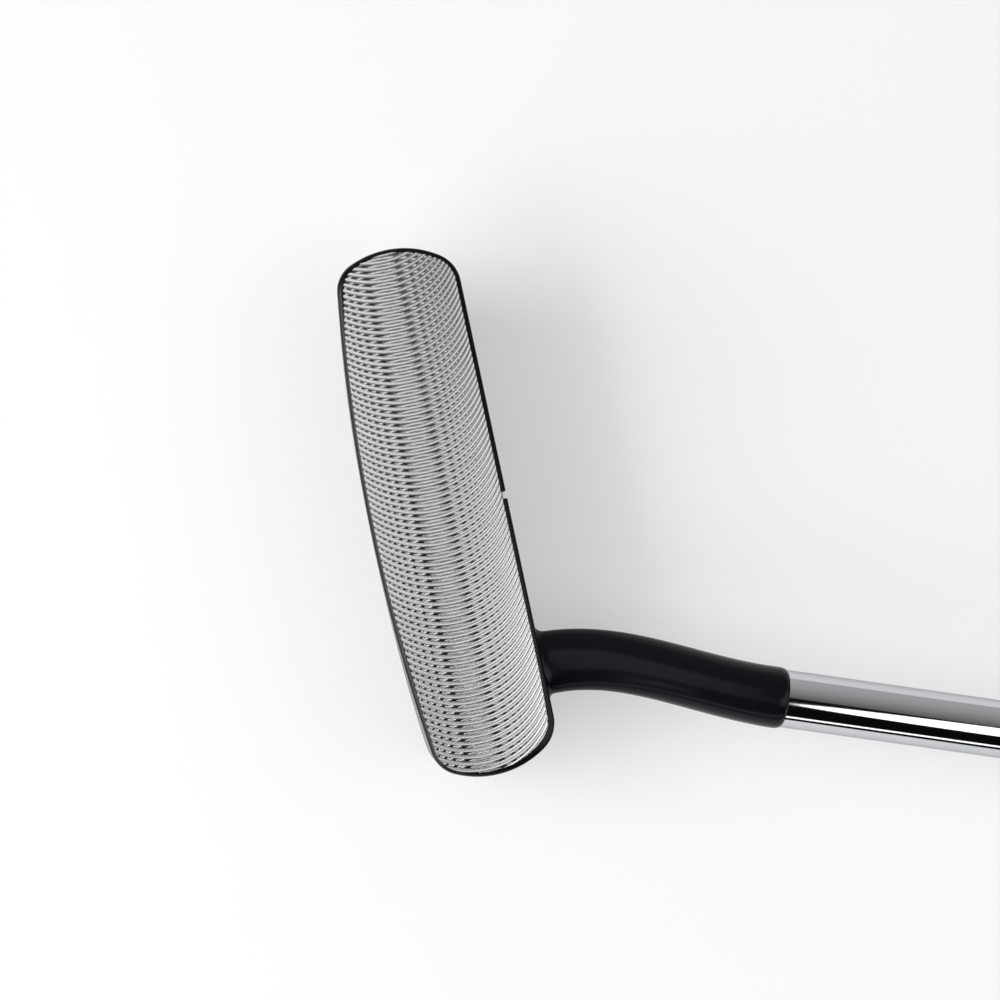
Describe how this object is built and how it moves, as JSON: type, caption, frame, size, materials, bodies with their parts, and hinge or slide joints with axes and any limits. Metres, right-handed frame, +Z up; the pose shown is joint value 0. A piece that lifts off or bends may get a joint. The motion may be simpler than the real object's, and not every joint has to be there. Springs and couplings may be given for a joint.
{
  "type": "blade putter",
  "caption": "Right-handed heel-shafted blade putter with a cross-milled face, flow neck, stepped steel shaft and flat-front pistol grip, lying face up",
  "frame": {"origin": "bottom centre of the putter's bounding box as it lies face up on a table", "axes": "+X runs along the shaft from head to butt, +Y is the toe side, +Z is up from the table and out of the striking face"},
  "size_m": [0.885, 0.0954, 0.0276],
  "materials": {
    "black_steel": "satin",
    "milled_steel": "satin",
    "sight_paint": "satin",
    "chrome": "polished",
    "epoxy": "gloss",
    "tape": "matte",
    "rubber": "matte",
    "leather": "satin",
    "trim": "satin"
  },
  "bodies": {
    "root": {"blade_head": "black_steel", "sight_line_paint": "sight_paint", "flow_neck": "black_steel", "neck_weld": "black_steel", "hosel_epoxy": "epoxy", "shaft": "chrome", "grip_tape": "tape", "grip_underlisting": "rubber", "grip_wrap": "leather", "grip_collar": "trim", "grip_cap": "trim"}
  },
  "joints": []
}
